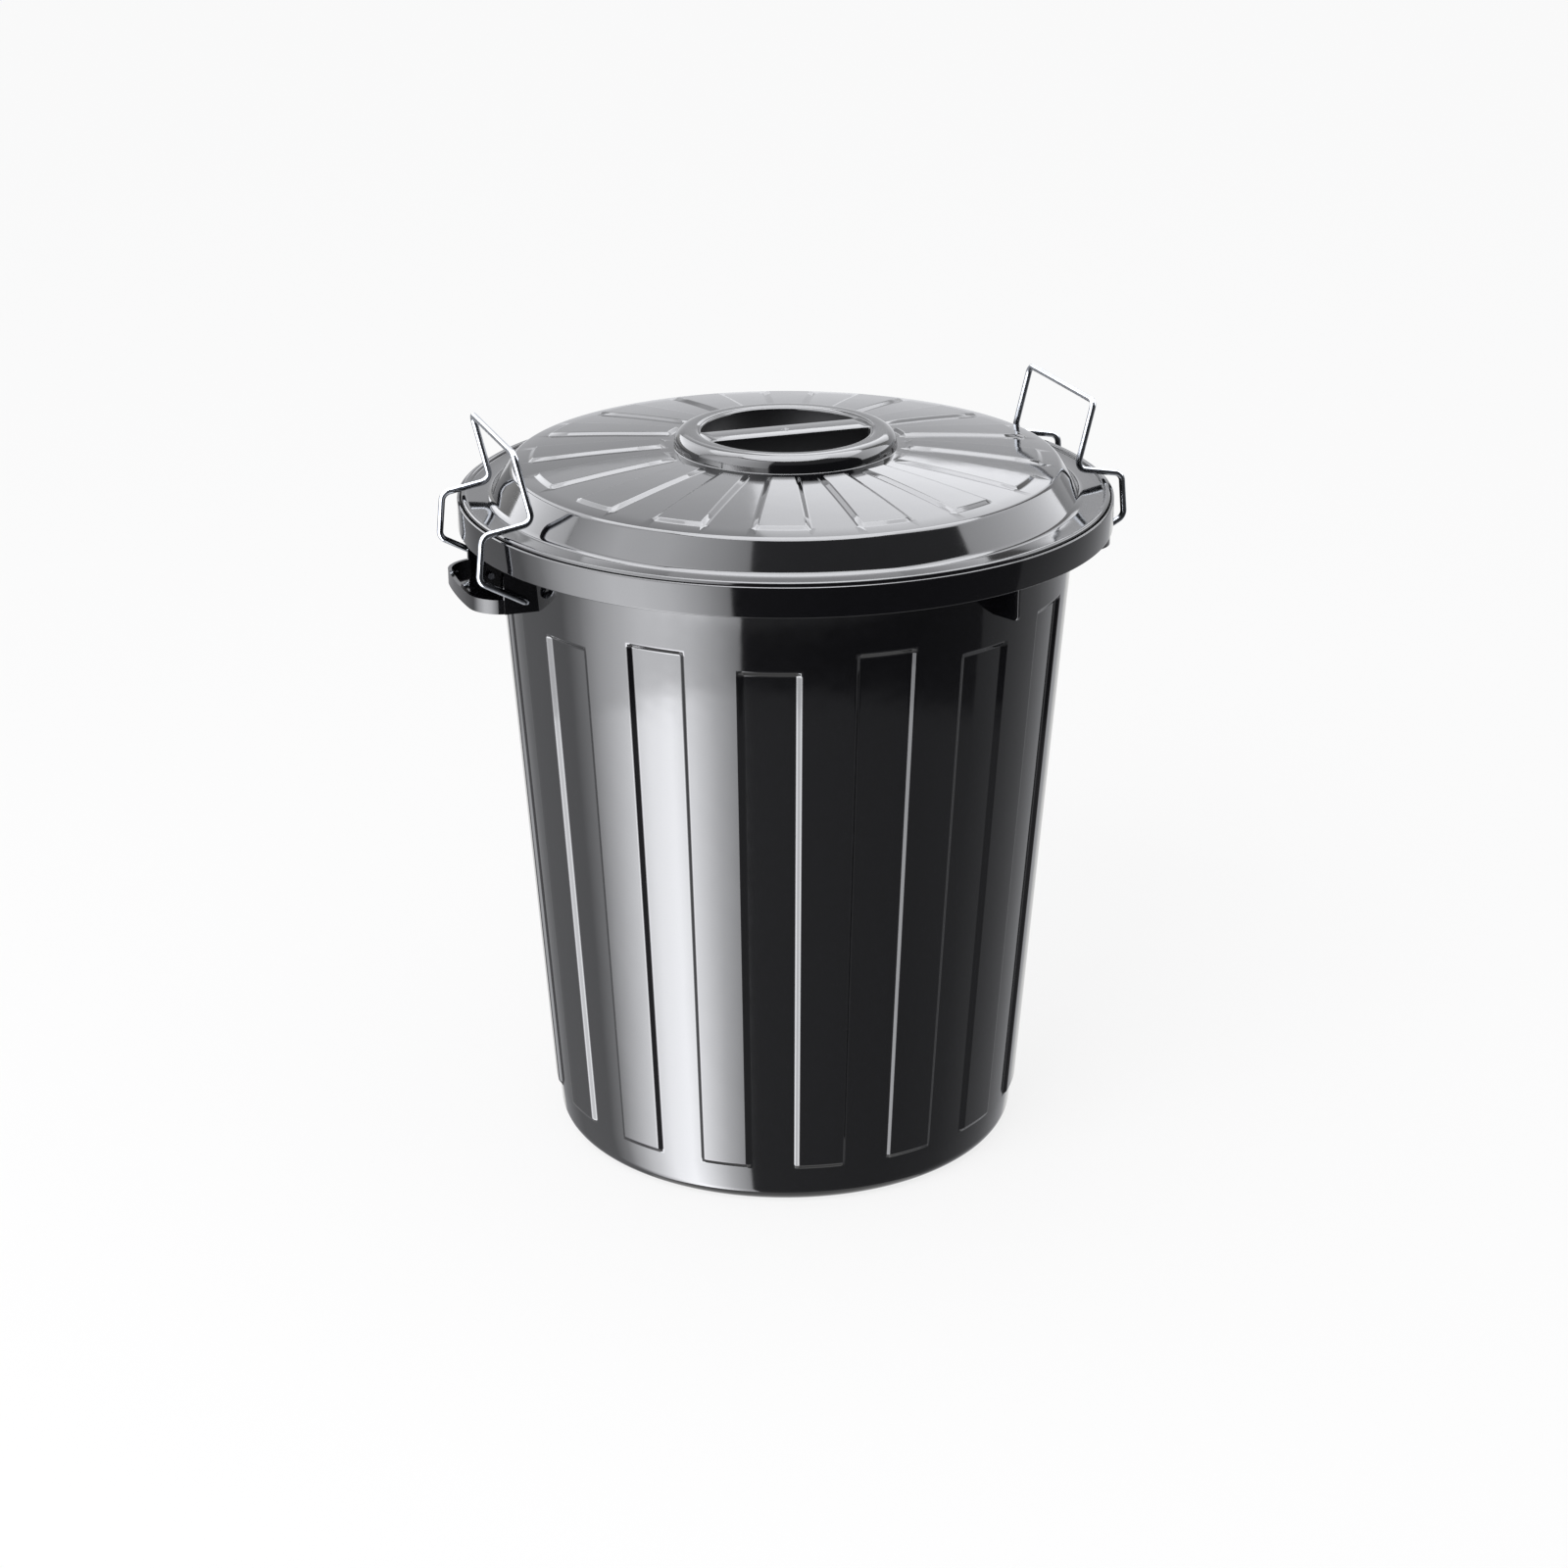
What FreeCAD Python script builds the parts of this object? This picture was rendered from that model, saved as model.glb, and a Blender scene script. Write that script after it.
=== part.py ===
"""Round tapered bin of about 50 litres: a moulded can, a lift-off lid and two wire clips.

Millimetres. The origin is the centre of the foot on the floor, +Z is up, and the two grips
with their clips lie on the X axis. The can and the lid are one moulding each, written here
as regions that meet face to face.
"""
import FreeCAD, Part
import math
import os
from FreeCAD import Vector

# ---- can: tapered tub -------------------------------------------------------------------
wall = 2.5                    # wall of the tub
foot_radius = 170.5           # outer wall carried down to the floor
mouth_radius = 205.0          # outer wall at the ledge
ledge_height = 474.8          # top of the ledge that the lid rests on
foot_fillet = 12.0            # outer radius between wall and foot
foot_lift = 3.0               # the middle of the foot stands clear of the floor
foot_ring = 32.0              # width of the ring that touches the floor

# ---- can: recessed strips ---------------------------------------------------------------
strip_count = 16
strip_depth = 2.6
strip_floor_angle = 10.4      # a strip's floor, seen from the can's axis
strip_side = 3.2              # run of the sloped sides, and of the closed end
strip_bottom = 29.0           # height where the raised fields end and the strips run out
strip_margin = 57.8           # from the ledge down to the higher closed ends
strip_stagger = 11.0          # every other strip ends this much lower
strip_top_high = ledge_height - strip_margin
strip_top_low = strip_top_high - strip_stagger

# ---- can: rim ---------------------------------------------------------------------------
rim_overhang = 25.0           # from the tub's wall out to the skirt's face
rim_radius = mouth_radius + rim_overhang
rim_wall = 2.4
rim_edge = 2.2                # the raised edge stands this far above the ledge
skirt_depth = 20.6            # turned-down skirt, from the top of the raised edge

# ---- can: grips and ribs ----------------------------------------------------------------
grip_half_width = 51.0        # outer faces of the two side plates
grip_beyond = 9.5             # the grip's lip stands this far outside the rim
grip_reach = rim_radius + grip_beyond
grip_drop = 51.8              # underside of the grip, below the ledge
grip_bottom = ledge_height - grip_drop
grip_floor = 2.5
grip_lip_height = 10.0
grip_lip_wall = 2.6
grip_corner = 18.4            # outer corners of the lip, seen from above
plate_wall = 3.0
plate_setback = 21.0          # outer edge of the side plates, behind the lip
plate_reach = grip_reach - plate_setback
rib_wall = 2.5
rib_inset = 6.0               # the rib ends this far inside the skirt's face
rib_reach = rim_radius - rib_inset
rib_drop = 42.8
rib_bottom = ledge_height - rib_drop
rib_corner = 4.0
rib_angles = (-66.0, 114.0)   # from the right grip, seen from above

# ---- lid --------------------------------------------------------------------------------
lid_wall = 2.1
lid_seat_gap = 0.3            # flange above the ledge, so that the mouldings don't bite
lid_edge_gap = 0.6            # lid's edge inside the raised rim edge
lid_base = ledge_height + lid_seat_gap
lid_radius = rim_radius - rim_edge - lid_edge_gap
flange_top = lid_base + lid_wall
flange_width = 20.7           # from the lid's edge in to the foot of the shoulder
bead_height = 2.1             # rounded bead along the lid's edge
bead_width = 3.8
shoulder_foot = lid_radius - flange_width
shoulder_rise = 20.4
shoulder_run = 14.2
shoulder_lean = shoulder_run / shoulder_rise
crown_edge = shoulder_foot - shoulder_run
crown_round = 5.0
dome_radius = 1470.0
dome_top = 35.7               # of the crown's sphere, above the lid's underside
locating_wall = 2.0
locating_gap = 2.0            # locating ring inside the can's mouth
locating_radius = mouth_radius - wall - locating_gap
locating_depth = 11.0

# ---- lid: grip ring, wells and wedge panels ---------------------------------------------
ring_outer = 78.3             # foot of the raised ring
ring_draft = 1.4              # the ring's side leans in by this
ring_top_outer = ring_outer - ring_draft
ring_height = 11.3            # crest above the crown at the ring's foot
ring_round = 8.5
ring_width = 13.9             # crest, up to its inner edge
ring_land = ring_top_outer - ring_width
well_margin = 4.0             # from the crest's inner edge to the wells
well_radius = ring_land - well_margin
well_depth = 30.0
well_step = 0.8               # bar and land lie this far below the crest
bar_half = 12.6
well_corner = 4.0
well_edge_round = 1.3
wedge_count = 16
wedge_turn = 2.2              # of the pattern against the grip bar, in degrees
wedge_raise = 1.9
wedge_side = 2.8              # run of the sloped sides
wedge_from_ring = 6.7
wedge_from_edge = 12.8
wedge_inner = ring_outer + wedge_from_ring        # foot of the inner end
wedge_outer = crown_edge - wedge_from_edge        # foot of the outer end
wedge_inner_half, wedge_outer_half = 10.7, 19.8   # half widths there

# ---- wire clips -------------------------------------------------------------------------
wire = 4.5                    # diameter
pivot_inset = 1.5             # pivot axis inside the tub's mouth radius
pivot_reach = mouth_radius - pivot_inset
pivot_rise = 8.0              # pivot axis above the grip's underside
pivot_height = grip_bottom + pivot_rise
pivot_clearance = 0.08        # radial, wire in its hole
leg_gap = 2.25                # between the side plates and the legs
leg_offset = grip_half_width + leg_gap + wire / 2
pin_inside = 4.0              # the bent ends reach this far past the plates
pin_end = grip_half_width - plate_wall - pin_inside
elbow_gap = 1.25              # between the rim and the wire that passes it
elbow_above = 5.7             # heights of the bends above the ledge
heel_above = 12.0
loop_above = 60.0
heel_inset = 8.0              # heel inside the foot of the lid's shoulder
loop_lean = 11.5              # top of the loop outside the heel
knee_flare = 3.0              # lower bend outside the upper one
elbow_out = rim_radius + elbow_gap + wire / 2 - pivot_reach      # from the pivot
elbow_up = ledge_height + elbow_above - pivot_height
knee_out, knee_up = elbow_out + knee_flare, 18.0
heel_out = shoulder_foot - heel_inset - pivot_reach
heel_up = ledge_height + heel_above - pivot_height
loop_out = heel_out + loop_lean
loop_up = ledge_height + loop_above - pivot_height
pin_bend, knee_bend, heel_bend, loop_bend = 4.0, 7.0, 6.5, 5.0


def rounded(corners, closed=False):
    """A wire of straight runs and tangent arcs through (point, radius) corners."""
    points = [point for point, radius in corners]
    count = len(corners)
    edges = []
    last = None
    first = None
    for index in range(count):
        point, radius = corners[index]
        inner = closed or 0 < index < count - 1
        if inner and radius > 0:
            back = (points[index - 1] - point).normalize()
            ahead = (points[(index + 1) % count] - point).normalize()
            half = back.getAngle(ahead) / 2
            reach = radius / math.tan(half)
            middle = (back + ahead).normalize() * (radius / math.sin(half) - radius)
            start, end = point + back * reach, point + ahead * reach
            arc = Part.Arc(start, point + middle, end).toShape()
        else:
            start, end, arc = point, point, None
        if last is not None and last.distanceToPoint(start) > 1e-6:
            edges.append(Part.LineSegment(last, start).toShape())
        if arc is not None:
            edges.append(arc)
        first = first or start
        last = end
    if closed and last.distanceToPoint(first) > 1e-6:
        edges.append(Part.LineSegment(last, first).toShape())
    return Part.Wire(edges)


def turned(corners):
    """A solid of revolution about Z from (radius, height, corner radius) corners."""
    outline = rounded([(Vector(r, 0, z), bend) for r, z, bend in corners], closed=True)
    return Part.Face(outline).revolve(Vector(), Vector(0, 0, 1), 360)


def around(shape, angle):
    """A copy of the shape, turned about the can's axis."""
    copy = shape.copy()
    copy.rotate(Vector(), Vector(0, 0, 1), angle)
    return copy


def block(x_low, x_high, y_low, y_high, z_low, z_high):
    """A box between two corners."""
    return Part.makeBox(x_high - x_low, y_high - y_low, z_high - z_low,
                        Vector(x_low, y_low, z_low))


def frustum(low, high):
    """A solid between two four-sided outlines."""
    outlines = [Part.makePolygon(corners + corners[:1]) for corners in (low, high)]
    return Part.makeLoft(outlines, True, True)


def growth(inset, side, depth):
    """How far a sloped side moves along the surface when the surface is inset."""
    return inset * (math.hypot(side, depth) - side) / depth


# ---- can --------------------------------------------------------------------------------
taper = (mouth_radius - foot_radius) / ledge_height
rim_under = ledge_height - wall
root_radius = mouth_radius - 6 * wall     # grips and ribs are drawn from here, inside the tub


def wall_radius(height, inset=0.0):
    """Radius of the tub's raised fields at a height."""
    return foot_radius + taper * height - inset


def strip_cutter(inset, top):
    """The hollow of one recessed strip, on the +X side, with sloped sides and a sloped top."""
    along = Vector(taper, 0, 1).normalize()
    outward = Vector(along.z, 0, -along.x)
    spread = growth(inset, strip_side, strip_depth)
    foot = Vector(wall_radius(0, inset), 0, 0)
    levels = []
    for level in (-strip_depth - wall, wall):
        opened = (level + strip_depth) * strip_side / strip_depth + spread
        corners = []
        for height in (strip_bottom - 3 * strip_side - wall, top + opened):
            floor_radius = wall_radius(height) - strip_depth
            half = floor_radius * math.tan(math.radians(strip_floor_angle / 2)) + opened
            middle = foot + outward * level + along * height
            corners.append((middle, Vector(0, half, 0)))
        (low, low_half), (high, high_half) = corners
        levels.append([low - low_half, low + low_half, high + high_half, high - high_half])
    return frustum(levels[0], levels[1])


def tub_form(inset, top):
    """The ribbed tub as a solid up to a height, with its whole surface inset by a distance."""
    low_step = strip_bottom
    high_step = strip_bottom + strip_side
    foot_inner = foot_radius - strip_depth - foot_ring
    tub = turned([
        (0, foot_lift + inset, 0),
        (foot_inner - foot_lift, foot_lift + inset, 0),
        (foot_inner, inset, 0),
        (wall_radius(0, inset) - strip_depth, inset, foot_fillet - inset),
        (wall_radius(low_step, inset) - strip_depth, low_step, 0),
        (wall_radius(high_step, inset), high_step, 0),
        (wall_radius(top, inset), top, 0),
        (0, top, 0)])
    core = turned([
        (0, 0, 0),
        (wall_radius(0, inset) - strip_depth, 0, 0),
        (wall_radius(top, inset) - strip_depth, top, 0),
        (0, top, 0)])
    pitch = 360 / strip_count
    cutters = []
    for top_height, first in ((strip_top_high, 0), (strip_top_low, 1)):
        cutter = strip_cutter(inset, top_height).cut(core)
        cutters += [around(cutter, pitch * k) for k in range(first, strip_count, 2)]
    return tub.cut(cutters)


def tub_cone():
    """The plain cone of the tub's raised fields, which the grips and ribs grow from."""
    return Part.makeCone(wall_radius(0), wall_radius(ledge_height), ledge_height)


def tub():
    """The tub, hollowed to an even wall, up to the underside of the rim."""
    return tub_form(0.0, rim_under).cut(tub_form(wall, ledge_height))


def rim():
    """Ledge, raised edge and turned-down skirt, in one ring on top of the tub's wall."""
    top = ledge_height + rim_edge
    skirt_inner = rim_radius - rim_wall
    edge_inner = rim_radius - rim_edge
    root = wall_radius(rim_under, wall)
    edge_round = 0.45 * rim_edge
    return turned([
        (root, rim_under, 0),
        (skirt_inner, rim_under, rim_wall),
        (skirt_inner, top - skirt_depth, rim_wall / 6),
        (rim_radius, top - skirt_depth, rim_wall / 3),
        (rim_radius, top, edge_round),
        (edge_inner, top, edge_round),
        (edge_inner, ledge_height, edge_round / 2),
        (root, ledge_height, 0)])


def grip_outline(reach, half_width, corner, low, high):
    """A block bounded by a circle about the can's axis, with rounded outer corners."""
    shape = Part.makeCylinder(reach, high - low, Vector(0, 0, low)).common(
        block(root_radius, reach + 1, -half_width, half_width, low, high))
    corners = [edge for edge in shape.Edges
               if edge.BoundBox.ZLength > high - low - 0.01 and edge.CenterOfMass.x > plate_reach]
    return shape.makeFillet(corner, corners)


def grip():
    """Side grip at +X: floor, upturned lip and the two side plates with the clip's holes."""
    lip_top = grip_bottom + grip_lip_height
    pocket_half = grip_half_width - plate_wall
    shelf = grip_outline(grip_reach, grip_half_width, grip_corner, grip_bottom, lip_top)
    pocket = grip_outline(grip_reach - grip_lip_wall, pocket_half, grip_corner - grip_lip_wall,
                          grip_bottom + grip_floor, lip_top + 1)
    shape = shelf.cut(pocket)
    plates = []
    for side in (-1, 1):
        edges = sorted((side * grip_half_width, side * pocket_half))
        plates.append(block(root_radius, plate_reach, edges[0], edges[1],
                            grip_bottom, rim_under))
    shape = shape.fuse(plates)
    hole = Part.makeCylinder(wire / 2 + pivot_clearance, 2 * grip_half_width + 2,
                             Vector(pivot_reach, -grip_half_width - 1, pivot_height),
                             Vector(0, 1, 0))
    return shape.cut(hole).cut(tub_cone())


def rib():
    """Small upright rib under the rim at +X."""
    outline = rounded([(Vector(root_radius, 0, rib_bottom), 0),
                       (Vector(rib_reach, 0, rib_bottom), rib_corner),
                       (Vector(rib_reach, 0, rim_under), 0),
                       (Vector(root_radius, 0, rim_under), 0)], closed=True)
    shape = Part.Face(outline).extrude(Vector(0, rib_wall, 0))
    shape.translate(Vector(0, -rib_wall / 2, 0))
    return shape.cut(tub_cone())


# ---- lid --------------------------------------------------------------------------------
def dome_height(radius, offset=0.0):
    """Height of the crown at a radius, with an offset square to the surface."""
    size = dome_radius + offset
    return lid_base + dome_top - dome_radius + math.sqrt(size ** 2 - radius ** 2)


def dome_under(offset, reach):
    """Everything below the crown's sphere, inside a radius."""
    centre = Vector(0, 0, lid_base + dome_top - dome_radius)
    ball = Part.makeSphere(dome_radius + offset, centre)
    return ball.common(Part.makeCylinder(reach, dome_top + ring_height, Vector(0, 0, lid_base - 1)))


def crown_solid(inset, foot):
    """Shoulder and domed crown as a solid down to a height, inset by a distance."""
    foot_reach = shoulder_foot - inset * math.hypot(1, shoulder_lean)
    top = lid_base + dome_top
    solid = turned([
        (0, foot, 0),
        (foot_reach, foot, 0),
        (foot_reach, flange_top, 0),
        (foot_reach - (top - flange_top) * shoulder_lean, top, 0),
        (0, top, 0)]).common(dome_under(-inset, lid_radius))
    edges = [edge for edge in solid.Edges
             if edge.BoundBox.ZLength < 0.01 and edge.BoundBox.ZMin > flange_top + lid_wall]
    return solid.makeFillet(crown_round - inset, edges)


def wedge(inset):
    """One raised wedge panel at +X, with sloped sides, before it is trimmed to the crown."""
    shrink = growth(inset, wedge_side, wedge_raise)
    levels = []
    for level in (-2 * wedge_raise, 2 * wedge_raise):
        opened = -level * wedge_side / wedge_raise - shrink
        r_in, half_in = wedge_inner - opened, wedge_inner_half + opened
        r_out, half_out = wedge_outer + opened, wedge_outer_half + opened
        z_in = dome_height(wedge_inner, -inset) + level
        z_out = dome_height(wedge_outer, -inset) + level
        levels.append([Vector(r_in, -half_in, z_in), Vector(r_out, -half_out, z_out),
                       Vector(r_out, half_out, z_out), Vector(r_in, half_in, z_in)])
    return frustum(levels[0], levels[1])


def crown_form(inset, foot):
    """Shoulder and crown with its wedge panels as a solid, inset by a distance."""
    panel = around(wedge(inset).common(dome_under(wedge_raise - inset, crown_edge)), wedge_turn)
    pitch = 360 / wedge_count
    panels = [around(panel, pitch * k) for k in range(wedge_count)]
    return crown_solid(inset, foot).fuse(panels)


def ring_solid(inset, foot):
    """The raised ring and the land inside it, inset by a distance."""
    crest = dome_height(ring_outer) + ring_height
    return turned([
        (0, foot, 0),
        (ring_outer - inset, foot, 0),
        (ring_outer - inset, dome_height(ring_outer) - inset, 0),
        (ring_top_outer - inset, crest - inset, ring_round - inset),
        (ring_land, crest - inset, 0),
        (well_radius + 1.5 * well_edge_round, crest - well_step - inset, 0),
        (0, crest - well_step - inset, 0)])


def well(side, offset, low, high):
    """One D-shaped finger well as a solid, beside the bar."""
    radius = well_radius + offset
    near = bar_half - offset
    disc = Part.makeCylinder(radius, high - low, Vector(0, 0, low))
    half = block(-radius - 1, radius + 1, near, radius + 1, low, high)
    shape = disc.common(half)
    uprights = [edge for edge in shape.Edges if edge.BoundBox.ZLength > high - low - 0.01]
    shape = shape.makeFillet(well_corner + offset, uprights)
    return shape if side > 0 else around(shape, 180)


def flange():
    """The lid's flat flange with the rounded bead along its edge."""
    bead_inner = lid_radius - bead_width
    bead_top = flange_top + bead_height
    bead_round = 0.45 * bead_width
    root = shoulder_foot - lid_wall * math.hypot(1, shoulder_lean)
    return turned([
        (root, lid_base, 0),
        (lid_radius, lid_base, lid_wall / 4),
        (lid_radius, bead_top, bead_round),
        (bead_inner, bead_top, bead_round),
        (bead_inner - bead_height / 3, flange_top, bead_height / 4),
        (root, flange_top, 0)])


def crown():
    """Everything of the lid above its flange, with the locating ring on the underside."""
    below = Part.makeCylinder(lid_radius, lid_wall, Vector(0, 0, lid_base))
    outer = crown_form(0.0, lid_base).fuse(ring_solid(0.0, lid_base)).cut(below)
    hollows = [crown_form(lid_wall, lid_base), ring_solid(lid_wall, flange_top)]
    locating_top = flange_top + (shoulder_foot - locating_radius) / shoulder_lean - lid_wall / 6
    locating = turned([
        (locating_radius - locating_wall, lid_base - locating_depth, locating_wall / 4),
        (locating_radius, lid_base - locating_depth, locating_wall / 3),
        (locating_radius, locating_top, 0),
        (locating_radius - locating_wall, locating_top, 0)])
    land = dome_height(ring_outer) + ring_height - well_step
    floor = land - well_depth
    cups = [well(side, lid_wall, floor - lid_wall, land - lid_wall / 2) for side in (-1, 1)]
    shape = outer.cut(hollows[0]).cut(hollows[1]).fuse([locating] + cups)
    shape = shape.cut([well(side, 0.0, floor, land + ring_height) for side in (-1, 1)])
    shape = shape.removeSplitter()
    mouths = [edge for edge in shape.Edges
              if abs(edge.Vertexes[0].Z - land) < 0.01
              and math.hypot(edge.Vertexes[0].X, edge.Vertexes[0].Y) < well_radius + 0.1]
    return shape.makeFillet(well_edge_round, mouths)


# ---- wire clip --------------------------------------------------------------------------
def clip():
    """The wire clip at +X: one bent wire from pivot to pivot."""
    half_route = [((0, 0), leg_offset, pin_bend), ((knee_out, knee_up), leg_offset, knee_bend),
                  ((elbow_out, elbow_up), leg_offset, knee_bend),
                  ((heel_out, heel_up), leg_offset, heel_bend),
                  ((loop_out, loop_up), leg_offset, loop_bend)]
    ends = [((0, 0), pin_end, 0)]
    corners = []
    for (out, up), offset, bend in ends + half_route:
        corners.append((Vector(pivot_reach + out, offset, pivot_height + up), bend))
    corners += [(Vector(point.x, -point.y, point.z), bend) for point, bend in reversed(corners)]
    route = rounded(corners)
    start = corners[0][0]
    circle = Part.Wire([Part.makeCircle(wire / 2, start, Vector(0, 1, 0))])
    return route.makePipeShell([circle], True, False)


def pieces():
    """Every node's name and solid."""
    boss = Part.makeCylinder(ring_outer, dome_top + ring_height, Vector(0, 0, lid_base))
    top = crown()
    yield "can_tub", tub()
    yield "can_rim", rim()
    yield "can_grip_right", grip()
    yield "can_grip_left", around(grip(), 180)
    for side, angle in zip(("front", "back"), rib_angles):
        yield "can_rib_" + side, around(rib(), angle)
    yield "lid_flange", flange()
    yield "lid_crown", top.cut(boss)
    yield "lid_grip", top.common(boss)
    yield "clip_right", clip()
    yield "clip_left", around(clip(), 180)


os.makedirs("parts", exist_ok=True)
for name, shape in pieces():
    print(name, "solids", len(shape.Solids), "valid", shape.isValid(),
          "volume %.0f" % shape.Volume)
    shape.Solids[0].exportStep("parts/%s.step" % name)
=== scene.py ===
import math

import bmesh
import bpy
from mathutils import Matrix, Vector


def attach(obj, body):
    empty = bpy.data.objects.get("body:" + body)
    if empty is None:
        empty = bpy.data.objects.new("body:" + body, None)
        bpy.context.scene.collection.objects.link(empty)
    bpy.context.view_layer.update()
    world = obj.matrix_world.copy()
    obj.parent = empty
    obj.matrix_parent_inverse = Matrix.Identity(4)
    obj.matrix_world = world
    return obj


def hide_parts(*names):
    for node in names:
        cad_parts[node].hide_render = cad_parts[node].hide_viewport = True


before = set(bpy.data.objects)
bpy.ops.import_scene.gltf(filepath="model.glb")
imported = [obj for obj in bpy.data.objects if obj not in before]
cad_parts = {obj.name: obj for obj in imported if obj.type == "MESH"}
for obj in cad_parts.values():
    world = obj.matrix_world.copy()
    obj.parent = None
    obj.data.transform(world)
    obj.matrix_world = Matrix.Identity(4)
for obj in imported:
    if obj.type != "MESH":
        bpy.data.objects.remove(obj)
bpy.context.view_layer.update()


# ---- View -------------------------------------------------------------------------------
# A 72 mm lens on a 36 mm sensor, about 2.3 m from the bin and looking down on it by 21
# degrees, from the front and a little to the left of it.
camera_turn = math.radians(-19.5)
camera_reach = 2.1317
camera_height = 1.0879
camera_target = Vector((0, 0, 0.2534))
camera_data = bpy.data.cameras.new("camera")
camera_data.sensor_width = 36
camera_data.lens = 72.1
camera_data.shift_x = -0.001
camera_data.clip_end = 50
camera = bpy.data.objects.new("camera", camera_data)
bpy.context.scene.collection.objects.link(camera)
camera.location = (math.sin(camera_turn) * camera_reach, -math.cos(camera_turn) * camera_reach,
                   camera_height)
camera.rotation_euler = (camera_target - camera.location).to_track_quat("-Z", "Y").to_euler()
bpy.context.scene.camera = camera


# ---- Can: tub and rim -------------------------------------------------------------------
# The can is one injection moulding of black polypropylene: a tapered tub with sixteen
# recessed strips, a ledge for the lid, a raised edge round it and a turned-down skirt.
# The sizes are in mm, and strip_half is in degrees round the bin's axis.
mm = 0.001
foot_radius = 170.5
foot_round = 12.0
foot_ring = 135.9
foot_hollow = 3.0
hollow_shift = 1.1
mouth_radius = 205.0
ledge_height = 474.8
taper = (mouth_radius - foot_radius) / ledge_height
tub_wall = 2.5
strip_count = 16
strip_half = 5.5
strip_depth = 2.6
strip_slope = 3.2
strip_bottom = 29.0
strip_tops = (417.0, 406.0)
sector_columns = 24
rim_radius = 230.0
rim_top = 477.0
rim_edge_wall = 2.2
under_rim = ledge_height - tub_wall
skirt_wall = 2.4
skirt_bottom = 456.4
arc_step_degrees = 12
arc_step_length = 4.0
slack = 0.1


def srgb(hex_colour):
    """A hex colour as the linear values that a shader takes."""
    values = [int(hex_colour[k:k + 2], 16) / 255 for k in (1, 3, 5)]
    return [v / 12.92 if v <= 0.04045 else ((v + 0.055) / 1.055) ** 2.4 for v in values] + [1]


def add_node(tree, kind, inputs, **settings):
    """Adds a node: each input is linked when it is given a socket, and set otherwise."""
    node = tree.nodes.new(kind)
    for name, value in settings.items():
        setattr(node, name, value)
    for name, value in inputs.items():
        if isinstance(value, bpy.types.NodeSocket):
            tree.links.new(value, node.inputs[name])
        else:
            node.inputs[name].default_value = value
    return node


def gloss_black_polypropylene():
    """Moulded in a polished tool: a deep black mirror, slightly uneven from shrinkage."""
    shrinkage_width = 0.045
    bloom_width = 0.008
    material = bpy.data.materials.new("gloss_black_polypropylene")
    material.use_nodes = True
    tree = material.node_tree
    shader = tree.nodes["Principled BSDF"]
    place = add_node(tree, "ShaderNodeTexCoord", {}).outputs["Object"]
    shrinkage = add_node(tree, "ShaderNodeTexNoise",
                         {"Vector": place, "Scale": 1 / shrinkage_width, "Detail": 2.0})
    bloom = add_node(tree, "ShaderNodeTexNoise",
                     {"Vector": place, "Scale": 1 / bloom_width, "Detail": 4.0})
    tint = add_node(tree, "ShaderNodeMix",
                    {"Factor": bloom.outputs["Fac"], "A": srgb("#08080a"), "B": srgb("#0c0c0f")},
                    data_type="RGBA")
    haze = add_node(tree, "ShaderNodeMapRange",
                    {"Value": bloom.outputs["Fac"], "To Min": 0.05, "To Max": 0.10})
    wave = add_node(tree, "ShaderNodeBump",
                    {"Height": shrinkage.outputs["Fac"], "Strength": 0.35, "Distance": 0.0004})
    tree.links.new(tint.outputs["Result"], shader.inputs["Base Color"])
    tree.links.new(haze.outputs["Result"], shader.inputs["Roughness"])
    tree.links.new(wave.outputs["Normal"], shader.inputs["Normal"])
    shader.inputs["IOR"].default_value = 1.5
    return material


black_plastic = gloss_black_polypropylene()


def tub_radius(height):
    """Outer radius of the tub's raised fields at a height."""
    return foot_radius + taper * height


def draw_profile(mesh, corners, closed, level=None):
    """Draws (across, along, rounding) corners in the XZ plane, or flat at a level."""
    verts = []
    for across, along, _ in corners:
        point = (across, 0, along) if level is None else (across, along, level)
        verts.append(mesh.verts.new(Vector(point) * mm))
    ring = verts + verts[:1] if closed else verts
    for pair in zip(ring, ring[1:]):
        mesh.edges.new(pair)
    cuts = []
    for index, (_, _, rounding) in enumerate(corners):
        if rounding:
            here = verts[index].co
            back = verts[index - 1].co - here
            ahead = verts[(index + 1) % len(verts)].co - here
            half = back.angle(ahead) / 2
            turn = math.pi - 2 * half
            steps = max(2, round(math.degrees(turn) / arc_step_degrees),
                        round(rounding * turn / arc_step_length))
            cuts.append((verts[index], rounding * mm / math.tan(half), steps))
    for vert, offset, segments in cuts:
        bmesh.ops.bevel(mesh, geom=[vert], offset=offset, segments=segments, profile=0.5,
                        affect="VERTICES", material=-1)


def spin_round(mesh, steps):
    """Spins the drawn profile into a surface about the bin's axis, normals outwards."""
    bmesh.ops.rotate(mesh, verts=mesh.verts, matrix=Matrix.Rotation(math.pi / steps, 3, "Z"))
    bmesh.ops.spin(mesh, geom=mesh.verts[:] + mesh.edges[:], cent=(0, 0, 0), axis=(0, 0, 1),
                   angle=2 * math.pi, steps=steps, use_merge=True)
    bmesh.ops.remove_doubles(mesh, verts=mesh.verts, dist=1e-6)
    bmesh.ops.recalc_face_normals(mesh, faces=mesh.faces)


def phase_of(vert, count):
    """Degrees from the middle of the nearest of count sectors, and that sector's number."""
    angle = math.degrees(math.atan2(vert.co.y, vert.co.x))
    pitch = 360 / count
    number = round(angle / pitch)
    return angle - number * pitch, number % count


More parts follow.
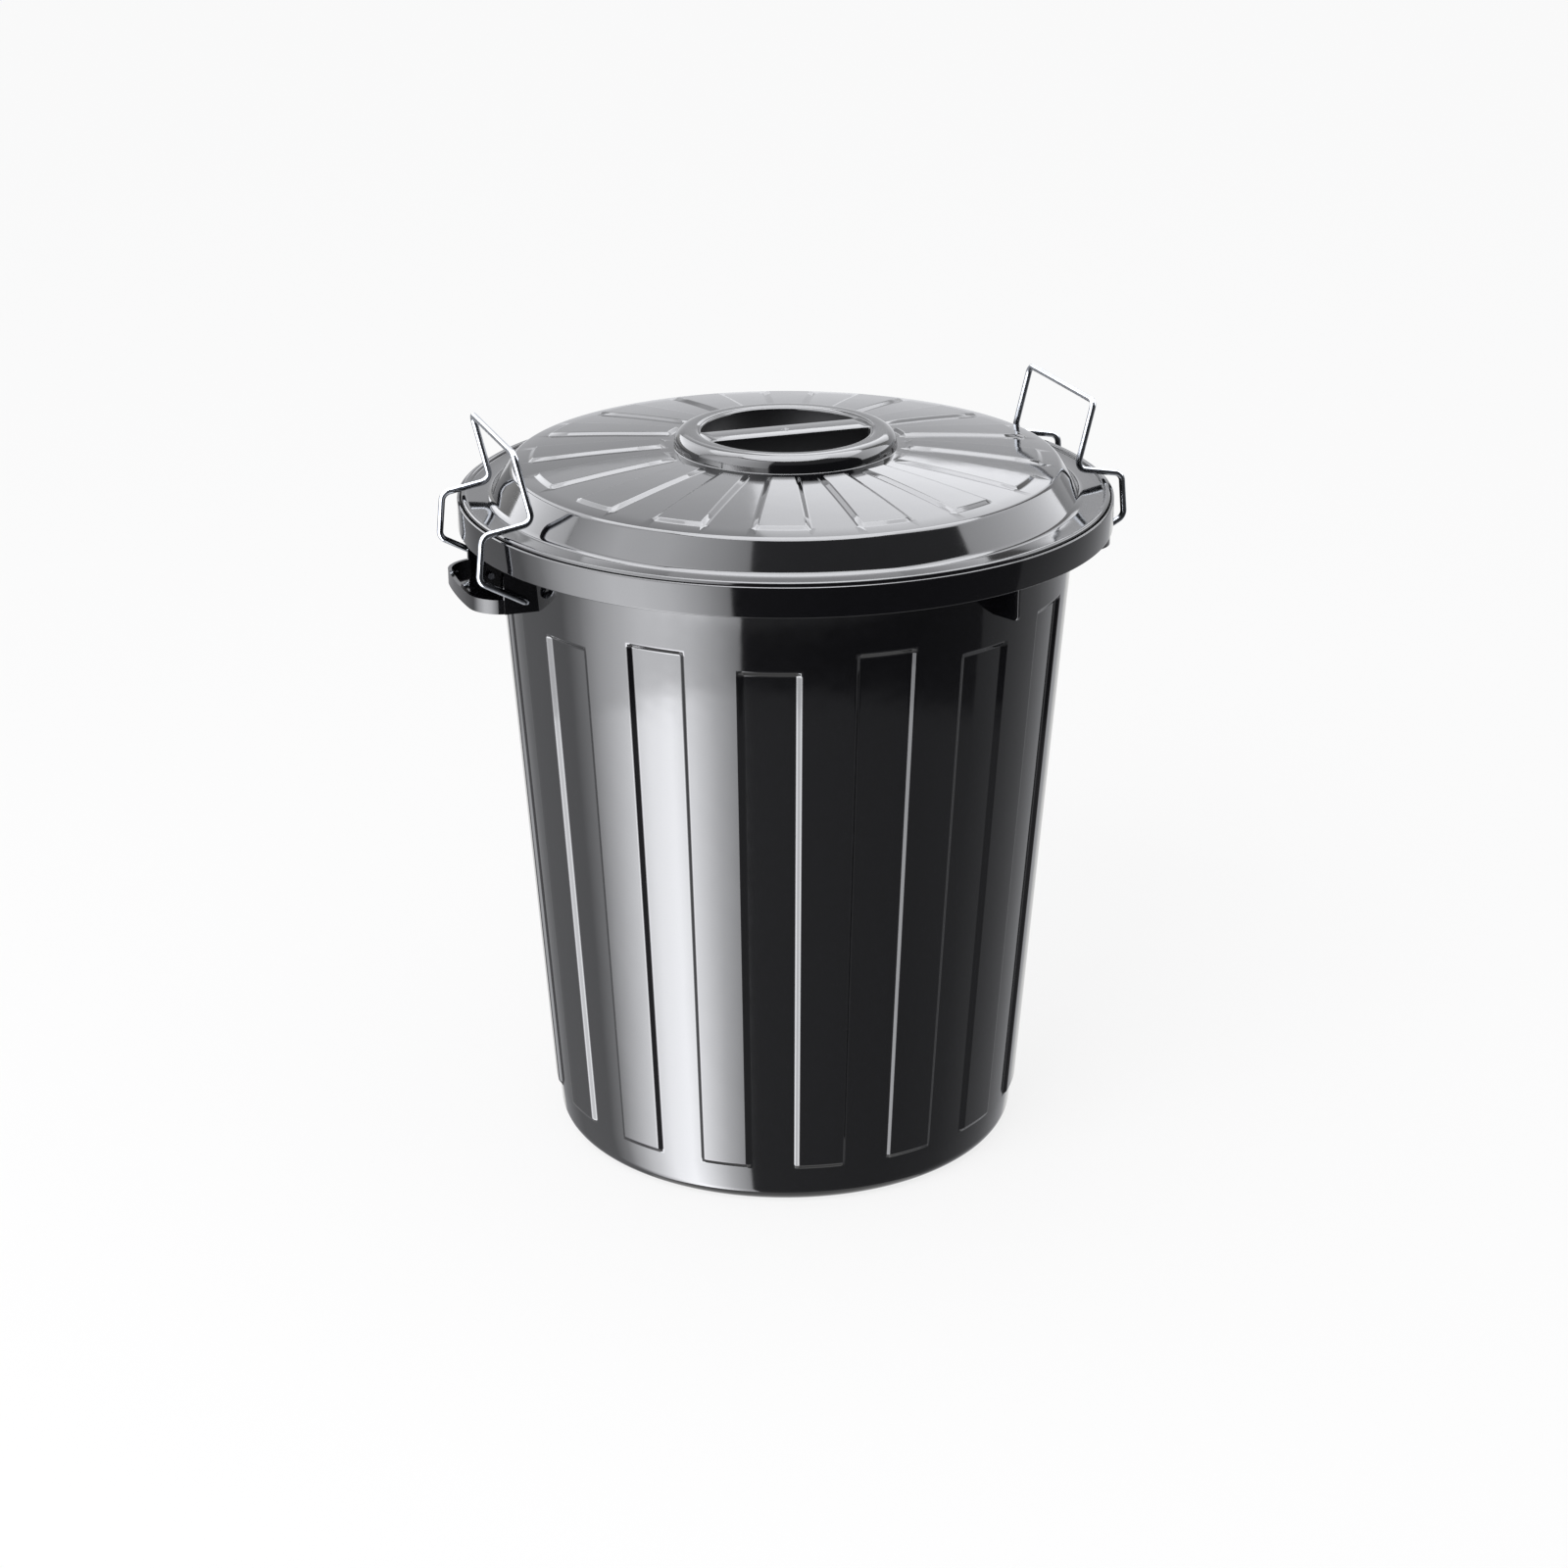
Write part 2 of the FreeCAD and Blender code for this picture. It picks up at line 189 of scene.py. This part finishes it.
def place_piece(mesh, name, body, nodes, edge_round):
    """Makes the mesh a glossy piece that stands for its nodes, hard edges rounded by mm."""
    data = bpy.data.meshes.new(name)
    mesh.to_mesh(data)
    mesh.free()
    data.polygons.foreach_set("use_smooth", [True] * len(data.polygons))
    data.materials.append(black_plastic)
    piece = bpy.data.objects.new(name, data)
    bpy.context.scene.collection.objects.link(piece)
    if edge_round:
        bevel = piece.modifiers.new("edges", "BEVEL")
        bevel.width = edge_round * mm
        bevel.segments = 3
        bevel.limit_method = "ANGLE"
        bevel.angle_limit = math.radians(24)
        bevel.harden_normals = True
    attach(piece, body)
    if nodes:
        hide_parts(*nodes)
    return piece


def build_tub():
    """Tub, ledge, raised edge and skirt as one closed wall, the strips pressed in after."""
    rows = [strip_bottom, strip_bottom + strip_slope]
    for top in sorted(strip_tops):
        rows += [top, top + strip_slope]
    low_radius = tub_radius(strip_bottom) - strip_depth
    outside = [(low_radius, rows[0], 0)] + [(tub_radius(row), row, 0) for row in rows[1:]]
    inside = [(radius - tub_wall, height, 0) for radius, height, _ in reversed(outside)]
    corners = [(0, foot_hollow, 0), (foot_ring - foot_hollow, foot_hollow, 0), (foot_ring, 0, 0),
               (foot_radius - strip_depth, 0, foot_round)]
    corners += outside
    corners += [(tub_radius(under_rim), under_rim, 0.8),
                (rim_radius - skirt_wall, under_rim, 2.4),
                (rim_radius - skirt_wall, skirt_bottom, 0.4), (rim_radius, skirt_bottom, 0.8),
                (rim_radius, rim_top, 1.0), (rim_radius - rim_edge_wall, rim_top, 1.0),
                (rim_radius - rim_edge_wall, ledge_height, 0.5),
                (mouth_radius - tub_wall, ledge_height, 0.8)]
    corners += inside
    corners += [(foot_radius - strip_depth - tub_wall, tub_wall, foot_round - tub_wall),
                (foot_ring + hollow_shift, tub_wall, 0),
                (foot_ring - foot_hollow + hollow_shift, foot_hollow + tub_wall, 0),
                (0, foot_hollow + tub_wall, 0)]
    mesh = bmesh.new()
    draw_profile(mesh, corners, closed=False)
    spin_round(mesh, strip_count * sector_columns)
    for vert in mesh.verts:
        phase, number = phase_of(vert, strip_count)
        height = vert.co.z / mm
        top = strip_tops[number % 2]
        if abs(phase) < strip_half and rows[1] - slack < height < top + slack:
            radius = vert.co.xy.length
            vert.co.xy *= (radius - strip_depth * mm) / radius
    place_piece(mesh, "can_tub_and_rim", "can", ["can_tub", "can_rim"], edge_round=0.9)


build_tub()


# ---- Can: grips and ribs ----------------------------------------------------------------
# Moulded on under the rim: on each side a shelf with an upturned lip, between two upright
# plates whose holes carry the clip, and two small stiffening ribs. What is called a root
# lies inside the tub's wall.
grip_half = 51.0
grip_side_reach = 235.0
grip_reach = 239.5
grip_bow = math.radians(7)
grip_corner = 24.0
grip_bottom = 423.0
grip_floor = 2.5
grip_lip = 2.6
lip_top = 433.0
shelf_back = 160.0
shelf_back_zone = 170.0
shelf_root = 200.0
shelf_inset = 0.1
plate_wall = 3.0
plate_reach = 218.5
plate_roots = (193.5, 197.0)
pivot_reach = 203.5
pivot_height = 431.0
hole_radius = 2.4
rib_wall = 2.5
rib_reach = 224.0
rib_bottom = 432.0
rib_roots = (200.5, 203.5)
rib_turns = (-66.0, 114.0)


def thicken(mesh, faces, shift):
    """Extrudes flat faces by a shift in mm, which leaves a closed shell."""
    grown = bmesh.ops.extrude_face_region(mesh, geom=faces)
    moved = [item for item in grown["geom"] if isinstance(item, bmesh.types.BMVert)]
    bmesh.ops.translate(mesh, verts=moved, vec=[length * mm for length in shift])


def join_in(mesh, other):
    """Takes another mesh into this one, with its shells kept apart."""
    data = bpy.data.meshes.new("joined")
    other.to_mesh(data)
    other.free()
    mesh.from_mesh(data)
    bpy.data.meshes.remove(data)


def build_shelf():
    """The shelf with its lip: drawn from above, raised, and its pocket sunk into it."""
    mesh = bmesh.new()
    side = grip_half - shelf_inset
    outline = [(shelf_back, -side, 0), (grip_side_reach, -side, grip_corner),
               (grip_reach / math.cos(grip_bow), 0, grip_reach),
               (grip_side_reach, side, grip_corner), (shelf_back, side, 0)]
    draw_profile(mesh, outline, closed=True, level=grip_bottom + shelf_inset)
    back = [edge for edge in mesh.edges
            if max(vert.co.x for vert in edge.verts) < shelf_back_zone * mm]
    bmesh.ops.subdivide_edges(mesh, edges=back, cuts=24)
    bmesh.ops.contextual_create(mesh, geom=mesh.edges[:])
    thicken(mesh, mesh.faces[:], (0, 0, lip_top - grip_bottom))
    top = max(mesh.faces, key=lambda face: face.calc_center_median().z)
    bmesh.ops.inset_region(mesh, faces=[top], thickness=grip_lip * mm, use_even_offset=True)
    pocket = bmesh.ops.extrude_discrete_faces(mesh, faces=[top])["faces"][0]
    bmesh.ops.translate(mesh, verts=pocket.verts,
                        vec=(0, 0, (grip_bottom + grip_floor - lip_top) * mm))
    for vert in mesh.verts:
        if vert.co.x < shelf_back_zone * mm:
            vert.co.x = math.sqrt((shelf_root * mm) ** 2 - vert.co.y ** 2)
    bmesh.ops.recalc_face_normals(mesh, faces=mesh.faces)
    return mesh


def build_plate(side):
    """One upright plate with the round hole that the wire turns in."""
    mesh = bmesh.new()
    outline = [(plate_roots[0], grip_bottom, 0), (plate_reach, grip_bottom, 0),
               (plate_reach, under_rim, 0), (plate_roots[1], under_rim, 0)]
    draw_profile(mesh, outline, closed=True)
    upright = Matrix.Rotation(math.pi / 2, 4, "X")
    pivot = Matrix.Translation((pivot_reach * mm, 0, pivot_height * mm))
    bmesh.ops.create_circle(mesh, segments=32, radius=hole_radius * mm, matrix=pivot @ upright)
    bmesh.ops.triangle_fill(mesh, edges=mesh.edges[:], use_beauty=True)
    thicken(mesh, mesh.faces[:], (0, plate_wall, 0))
    low = grip_half - plate_wall if side > 0 else -grip_half
    bmesh.ops.translate(mesh, verts=mesh.verts, vec=(0, low * mm, 0))
    bmesh.ops.recalc_face_normals(mesh, faces=mesh.faces)
    return mesh


def build_grip(name, turn):
    """Shelf and plates of one grip, turned to its side of the can."""
    mesh = build_shelf()
    join_in(mesh, build_plate(1))
    join_in(mesh, build_plate(-1))
    bmesh.ops.rotate(mesh, verts=mesh.verts, matrix=Matrix.Rotation(turn, 3, "Z"))
    place_piece(mesh, name + "_moulding", "can", [name], edge_round=0.5)


def build_rib(name, turn):
    """A thin upright rib with a rounded lower corner."""
    mesh = bmesh.new()
    outline = [(rib_roots[0], rib_bottom, 0), (rib_reach, rib_bottom, 4.0),
               (rib_reach, under_rim, 0), (rib_roots[1], under_rim, 0)]
    draw_profile(mesh, outline, closed=True)
    face = bmesh.ops.contextual_create(mesh, geom=mesh.edges[:])["faces"]
    thicken(mesh, face, (0, rib_wall, 0))
    bmesh.ops.translate(mesh, verts=mesh.verts, vec=(0, -rib_wall / 2 * mm, 0))
    bmesh.ops.rotate(mesh, verts=mesh.verts, matrix=Matrix.Rotation(math.radians(turn), 3, "Z"))
    bmesh.ops.recalc_face_normals(mesh, faces=mesh.faces)
    place_piece(mesh, name + "_moulding", "can", [name], edge_round=0.4)


build_grip("can_grip_right", 0)
build_grip("can_grip_left", math.pi)
build_rib("can_rib_front", rib_turns[0])
build_rib("can_rib_back", rib_turns[1])


# ---- Lid --------------------------------------------------------------------------------
# The second moulding, in the same plastic: a flange with a rounded bead on its edge, a
# sloping shoulder, a domed crown with raised wedge panels, and a ring round the wells.
# Under it a locating ring drops into the can's mouth. wedge_turn and wedge_half are degrees.
lid_wall = 2.1
lid_base = 475.1
lid_radius = 227.2
flange_inner = 203.9
flange_top = lid_base + lid_wall
bead_foot = 222.7
bead_inner = 223.4
bead_top = 479.3
locating_outer = 200.5
locating_inner = 198.5
locating_bottom = 464.1
locating_roots = (482.1, 485.0)
shoulder_foot = 206.5
crown_edge = 192.3
crown_edge_inside = 190.6
crown_rows = (106.0, 124.0, 142.0, 160.0)
dome_radius = 1470.0
dome_top = 510.8
wedge_count = 16
wedge_turn = 2.2
wedge_raise = 1.9
wedge_ends = (84.5, 88.0, 176.5, 179.5)
wedge_half = 5.2
wedge_slope = 3.6
slope_column = 6.5
ring_foot = 78.3
ring_outer = 76.9
ring_inner = 63.0
ring_crest = 520.0
land_radius = 61.0
land_height = 519.2


def dome_height(radius):
    """Height of the crown's sphere at a radius."""
    return dome_top - dome_radius + math.sqrt(dome_radius ** 2 - radius ** 2)


def build_lid():
    """Flange, shoulder, crown and ring as one closed wall, with the wedges raised from it."""
    radii = [*wedge_ends[:2], *crown_rows, *wedge_ends[2:]]
    crown = [(radius, dome_height(radius), 0) for radius in radii]
    crown_inside = [(radius, height - lid_wall, 0) for radius, height, _ in reversed(crown)]
    corners = [(land_radius, land_height, 0.6), (ring_inner, ring_crest, 2.0),
               (ring_outer, ring_crest, 8.5), (ring_foot, dome_height(ring_foot), 0.8)]
    corners += crown
    corners += [(crown_edge, dome_height(crown_edge), 5.0), (shoulder_foot, flange_top, 6.0),
                (bead_foot, flange_top, 0.5), (bead_inner, bead_top, 1.6),
                (lid_radius, bead_top, 1.7), (lid_radius, lid_base, 0.5),
                (flange_inner, lid_base, 0.4), (flange_inner, flange_top, 0),
                (locating_outer, locating_roots[0], 0), (locating_outer, locating_bottom, 0.7),
                (locating_inner, locating_bottom, 0.5), (locating_inner, locating_roots[1], 0),
                (crown_edge_inside, dome_height(crown_edge_inside) - lid_wall, 3.0)]
    corners += crown_inside
    corners += [(ring_foot - lid_wall, dome_height(ring_foot) - lid_wall, 0.8),
                (ring_outer - lid_wall, ring_crest - lid_wall, 6.4),
                (ring_inner, ring_crest - lid_wall, 0),
                (land_radius, land_height - lid_wall, 0)]
    mesh = bmesh.new()
    draw_profile(mesh, corners, closed=True)
    spin_round(mesh, wedge_count * sector_columns)
    drawn_foot = slope_column * 360 / (wedge_count * sector_columns)
    half_pitch = 180 / wedge_count
    for vert in mesh.verts:
        radius = vert.co.xy.length / mm
        if not wedge_ends[0] - slack < radius < wedge_ends[3] + slack:
            continue
        phase = phase_of(vert, wedge_count)[0]
        if abs(phase) < wedge_half and wedge_ends[1] - slack < radius < wedge_ends[2] + slack:
            vert.co.z += wedge_raise * mm
        if abs(phase) > wedge_half:
            foot = wedge_half + math.degrees(wedge_slope / radius)
            share = (abs(phase) - drawn_foot) / (half_pitch - drawn_foot)
            moved = foot + share * (half_pitch - foot)
            turn = math.radians(math.copysign(moved, phase) - phase)
            vert.co = Matrix.Rotation(turn, 3, "Z") @ vert.co
    bmesh.ops.rotate(mesh, verts=mesh.verts,
                     matrix=Matrix.Rotation(math.radians(wedge_turn), 3, "Z"))
    place_piece(mesh, "lid_shell", "lid", ["lid_flange", "lid_crown", "lid_grip"],
                edge_round=0.8)


build_lid()


# ---- Lid: finger wells and grip bar -----------------------------------------------------
# Two deep D-shaped wells leave a bar across the middle of the ring, so that a hand can
# close round it. The moulding's gate leaves a small mark in the middle of the bar.
well_radius = 59.0
well_depth = 30.0
well_corner = 4.0
mouth_round = 1.4
bar_half = 12.6
circle_steps = 192
gloss_depth = 2.5
gate_rises = ((0, 0.2, 0), (0.9, 0.3, 0.2), (1.5, 0.7, 0.3), (2.6, 0.5, 0.5), (3.2, -0.2, 0))


def matt_plastic_painted_well_shade():
    """The same plastic where the tool is spark-eroded for grip: matt, with a fine grain.
    Its darker colour and weak reflection are painted shade for the inside of the wells.
    """
    grain_width = 0.0006
    material = bpy.data.materials.new("matt_plastic_painted_well_shade")
    material.use_nodes = True
    tree = material.node_tree
    shader = tree.nodes["Principled BSDF"]
    place = add_node(tree, "ShaderNodeTexCoord", {}).outputs["Object"]
    grain = add_node(tree, "ShaderNodeTexNoise", {"Vector": place, "Scale": 1 / grain_width})
    tint = add_node(tree, "ShaderNodeMix",
                    {"Factor": grain.outputs["Fac"], "A": srgb("#050506"), "B": srgb("#08080a")},
                    data_type="RGBA")
    relief = add_node(tree, "ShaderNodeBump",
                      {"Height": grain.outputs["Fac"], "Strength": 0.5, "Distance": 0.00005})
    tree.links.new(tint.outputs["Result"], shader.inputs["Base Color"])
    tree.links.new(relief.outputs["Normal"], shader.inputs["Normal"])
    shader.inputs["Roughness"].default_value = 0.5
    shader.inputs["Specular IOR Level"].default_value = 0.2
    return material


well_painted_shade_black = matt_plastic_painted_well_shade()


def well_outline(side):
    """The D-shaped mouth of one well, as a flat face on top of the ring's land."""
    mesh = bmesh.new()
    bmesh.ops.create_circle(mesh, cap_ends=True, segments=circle_steps, radius=well_radius * mm)
    bmesh.ops.translate(mesh, verts=mesh.verts, vec=(0, 0, land_height * mm))
    bmesh.ops.bisect_plane(mesh, geom=mesh.verts[:] + mesh.edges[:] + mesh.faces[:],
                           plane_co=(0, bar_half * mm, 0), plane_no=(0, -1, 0), clear_outer=True)
    corners = [vert for vert in mesh.verts if vert.co.y < (bar_half + slack) * mm]
    bmesh.ops.bevel(mesh, geom=corners, offset=well_corner * mm, segments=6, profile=0.5,
                    affect="VERTICES", material=-1)
    if side < 0:
        bmesh.ops.rotate(mesh, verts=mesh.verts, matrix=Matrix.Rotation(math.pi, 3, "Z"))
    return mesh


def build_wells():
    """The bar, the land round it and the two cups, as one surface with a wall's thickness."""
    mesh = bmesh.new()
    for side in (1, -1):
        join_in(mesh, well_outline(side))
    mouths = mesh.edges[:]
    bmesh.ops.delete(mesh, geom=mesh.faces[:], context="FACES_ONLY")
    bmesh.ops.create_circle(mesh, segments=circle_steps, radius=land_radius * mm,
                            matrix=Matrix.Translation((0, 0, land_height * mm)))
    bmesh.ops.triangle_fill(mesh, edges=mesh.edges[:], use_beauty=True)
    walls = bmesh.ops.extrude_edge_only(mesh, edges=mouths)["geom"]
    lows = [item for item in walls if isinstance(item, bmesh.types.BMVert)]
    floor_edges = [item for item in walls if isinstance(item, bmesh.types.BMEdge)
                   and all(vert in lows for vert in item.verts)]
    bmesh.ops.translate(mesh, verts=lows, vec=(0, 0, -well_depth * mm))
    bmesh.ops.edgenet_fill(mesh, edges=floor_edges)
    bmesh.ops.bevel(mesh, geom=mouths, offset=mouth_round * mm, segments=4, profile=0.5,
                    affect="EDGES", material=-1)
    bmesh.ops.recalc_face_normals(mesh, faces=mesh.faces)
    top = max(mesh.faces, key=lambda face: face.calc_center_median().z)
    if top.normal.z < 0:
        bmesh.ops.reverse_faces(mesh, faces=mesh.faces)
    piece = place_piece(mesh, "lid_bar_and_wells", "lid", [], edge_round=0)
    # Below gloss_depth the cups take the darker plastic: painted shade for the inside of the
    # wells.
    piece.data.materials.append(well_painted_shade_black)
    for face in piece.data.polygons:
        if face.center.z < (land_height - gloss_depth) * mm:
            face.material_index = 1
    wall = piece.modifiers.new("wall", "SOLIDIFY")
    wall.thickness = lid_wall * mm
    wall.offset = -1


def build_gate_mark():
    """The trimmed gate: a low ring with a small crater."""
    mesh = bmesh.new()
    corners = [(radius, land_height + rise, rounding) for radius, rise, rounding in gate_rises]
    draw_profile(mesh, corners, closed=False)
    spin_round(mesh, 32)
    place_piece(mesh, "lid_gate_mark", "lid", [], edge_round=0)


build_wells()
build_gate_mark()


# ---- Clips ------------------------------------------------------------------------------
# Each clip is one length of hard-drawn steel wire, bent on a jig and zinc plated. Its two
# ends are sprung into the holes of the grip's plates, and it swings on them.
def bright_zinc():
    """Bright plating on drawn wire: near mirror, with a fine grain and faint clouds."""
    cloud_width = 0.006
    material = bpy.data.materials.new("bright_zinc")
    material.use_nodes = True
    tree = material.node_tree
    shader = tree.nodes["Principled BSDF"]
    place = add_node(tree, "ShaderNodeTexCoord", {}).outputs["Object"]
    cloud = add_node(tree, "ShaderNodeTexNoise",
                     {"Vector": place, "Scale": 1 / cloud_width, "Detail": 5.0})
    tint = add_node(tree, "ShaderNodeMix",
                    {"Factor": cloud.outputs["Fac"], "A": srgb("#85888d"), "B": srgb("#adb0b5")},
                    data_type="RGBA")
    haze = add_node(tree, "ShaderNodeMapRange",
                    {"Value": cloud.outputs["Fac"], "To Min": 0.12, "To Max": 0.26})
    grain = add_node(tree, "ShaderNodeBump",
                     {"Height": cloud.outputs["Fac"], "Strength": 0.25, "Distance": 0.0001})
    tree.links.new(tint.outputs["Result"], shader.inputs["Base Color"])
    tree.links.new(haze.outputs["Result"], shader.inputs["Roughness"])
    tree.links.new(grain.outputs["Normal"], shader.inputs["Normal"])
    shader.inputs["Metallic"].default_value = 1.0
    return material


plated_wire = bright_zinc()
for clip in ("clip_left", "clip_right"):
    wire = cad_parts[clip]
    wire.data.materials.clear()
    wire.data.materials.append(plated_wire)


# ---- Studio -----------------------------------------------------------------------------
# A white floor and surroundings, one soft key light, and curved cards that only the gloss
# reflects: bright ones at the left, at the right, behind and above, and dark flags in front
# and low at the sides. The sizes here are in metres, and the angles in degrees.
card_datum = 0.3
band_columns = 6
full_turn = 2 * math.pi
light_cards = (
    # name, azimuths, elevations, distance, strengths from the first azimuth to the second
    ("card_left_low", (-107, -187), (-60, -22), 1.6,
     (5.0, 9.0, 15.0, 20.0, 17.0, 11.0, 6.5, 2.5, 1.0)),
    ("card_left", (-107, -187), (-22, 10), 1.6,
     (3.5, 7.0, 10.0, 11.0, 10.5, 8.0, 5.5, 2.5, 1.0)),
    ("card_left_high", (-107, -187), (12, 64), 1.5,
     (3.8, 5.0, 6.0, 7.0, 8.0, 8.0, 8.0, 6.0, 4.0)),
    ("flag_left", (-187, -245), (-60, 10), 1.6, (1.0, 0.5, 0.5)),
    ("card_right", (-8, 42), (14, 50), 1.5, (5.0, 5.5, 5.5, 5.0)),
    ("card_back_right", (56, 92), (24.5, 50), 1.7, (3.0, 4.0, 4.2, 4.0)),
    ("card_back_left", (92, 113), (24.5, 50), 1.7, (2.2, 1.8, 1.6)),
    ("card_back_side", (113, 172), (18, 50), 1.65, (4.0, 6.5, 7.0, 6.0)),
    ("card_back_low", (42, 113), (-4, 24.5), 1.75, (1.2, 1.25, 1.3, 1.2, 1.1)),
    ("card_top_back", (-8, 172), (50, 68), 1.45, (9, 11, 11, 10, 10, 11, 9)),
    ("card_top", (0, 359.9), (68, 89.9), 1.4, (14, 14, 14, 14, 14, 14)),
    ("flag_front_low", (-106.5, -8), (-60, -22), 1.6, (0.4, 0.35, 0.3, 0.3)),
    ("flag_front", (-106.5, -8), (-22, 36), 1.6, (0.1, 0.06, 0.06, 0.1)),
    ("flag_front_high", (-106.5, -8), (36, 64), 1.6, (0.4, 0.35, 0.35, 0.35)),
    ("flag_right", (-8, 60), (-60, 10), 1.6, (0.3, 0.5, 0.8)),
)


def emitting(name, strength_first, strength_last):
    """One band's light, which changes evenly across it."""
    material = bpy.data.materials.new(name)
    material.use_nodes = True
    tree = material.node_tree
    tree.nodes.clear()
    across = add_node(tree, "ShaderNodeTexCoord", {}).outputs["UV"]
    split = add_node(tree, "ShaderNodeSeparateXYZ", {"Vector": across})
    level = add_node(tree, "ShaderNodeMapRange",
                     {"Value": split.outputs["X"], "To Min": strength_first,
                      "To Max": strength_last})
    light = add_node(tree, "ShaderNodeEmission",
                     {"Color": srgb("#fafbff"), "Strength": level.outputs["Result"]})
    add_node(tree, "ShaderNodeOutputMaterial", {"Surface": light.outputs["Emission"]})
    return material


def light_card(name, azimuths, elevations, reach, strengths):
    """A curved card round the bin. Azimuth 0 is at the camera's right, and -90 towards it."""
    bands = len(strengths) - 1
    low, high = [card_datum + reach * math.tan(math.radians(angle)) for angle in elevations]
    start = math.radians(azimuths[0]) + camera_turn
    turn = math.radians(azimuths[1] - azimuths[0])
    mesh = bmesh.new()
    uv_layer = mesh.loops.layers.uv.new("UVMap")
    ends = [mesh.verts.new((reach * math.cos(start), reach * math.sin(start), height))
            for height in (low, high)]
    edge = mesh.edges.new(ends)
    bmesh.ops.spin(mesh, geom=ends + [edge], cent=(0, 0, 0), axis=(0, 0, 1), angle=turn,
                   steps=bands * band_columns)
    mesh.faces.ensure_lookup_table()
    for face in mesh.faces:
        band = face.index // band_columns
        face.material_index = band
        for loop in face.loops:
            passed = math.atan2(loop.vert.co.y, loop.vert.co.x) - start
            share = math.copysign(1, turn) * passed % full_turn / abs(turn)
            # The first edge can come out a hair before the start, nearly a full turn on.
            if share > 1.5:
                share = 0
            loop[uv_layer].uv = (share * bands - band, 0.5)
    data = bpy.data.meshes.new(name)
    mesh.to_mesh(data)
    mesh.free()
    for number, pair in enumerate(zip(strengths, strengths[1:])):
        data.materials.append(emitting(name + "_" + str(number), *pair))
    card = bpy.data.objects.new(name, data)
    bpy.context.scene.collection.objects.link(card)
    card.visible_camera = False
    card.visible_diffuse = False
    card.visible_shadow = False
    card.visible_transmission = False


for card_values in light_cards:
    light_card(*card_values)


def white_board():
    """Painted white board: it keeps the bin's shadow, and the camera sees the rest as white."""
    plain_share = 0.8
    material = bpy.data.materials.new("white_board")
    material.use_nodes = True
    tree = material.node_tree
    tree.nodes.clear()
    board = add_node(tree, "ShaderNodeBsdfDiffuse", {"Color": srgb("#f6f6f7")})
    plain = add_node(tree, "ShaderNodeEmission", {"Color": srgb("#ffffff"), "Strength": 1.0})
    seen = add_node(tree, "ShaderNodeLightPath", {}).outputs["Is Camera Ray"]
    share = add_node(tree, "ShaderNodeMath", {0: seen, 1: plain_share}, operation="MULTIPLY")
    mixed = add_node(tree, "ShaderNodeMixShader",
                     {0: share.outputs[0], 1: board.outputs[0], 2: plain.outputs[0]})
    add_node(tree, "ShaderNodeOutputMaterial", {"Surface": mixed.outputs[0]})
    return material


floor_mesh = bmesh.new()
bmesh.ops.create_grid(floor_mesh, x_segments=1, y_segments=1, size=12)
floor_data = bpy.data.meshes.new("floor")
floor_mesh.to_mesh(floor_data)
floor_mesh.free()
floor_data.materials.append(white_board())
floor = bpy.data.objects.new("floor", floor_data)
floor.visible_glossy = False
bpy.context.scene.collection.objects.link(floor)

world = bpy.data.worlds.new("studio")
bpy.context.scene.world = world
world.use_nodes = True
sky = world.node_tree
sky.nodes.clear()
path = add_node(sky, "ShaderNodeLightPath", {})
seen_or_glossy = add_node(sky, "ShaderNodeMath",
                          {0: path.outputs["Is Camera Ray"], 1: path.outputs["Is Glossy Ray"]},
                          operation="MAXIMUM")
shown = add_node(sky, "ShaderNodeMath",
                 {0: seen_or_glossy.outputs[0], 1: path.outputs["Is Transmission Ray"]},
                 operation="MAXIMUM")
strength = add_node(sky, "ShaderNodeMapRange",
                    {"Value": shown.outputs[0], "To Min": 0.8, "To Max": 1.0})
sky_light = add_node(sky, "ShaderNodeBackground",
                     {"Color": srgb("#ffffff"), "Strength": strength.outputs["Result"]})
add_node(sky, "ShaderNodeOutputWorld", {"Surface": sky_light.outputs[0]})

key_target = Vector((0, 0, 0.25))
key_data = bpy.data.lights.new("key", "AREA")
key_data.size = 1.4
key_data.energy = 22
key = bpy.data.objects.new("key", key_data)
key.location = (-1.3, -1.1, 2.0)
key.rotation_euler = (key_target - key.location).to_track_quat("-Z", "Y").to_euler()
key.visible_glossy = False
bpy.context.scene.collection.objects.link(key)

bpy.context.scene.view_settings.view_transform = "Standard"
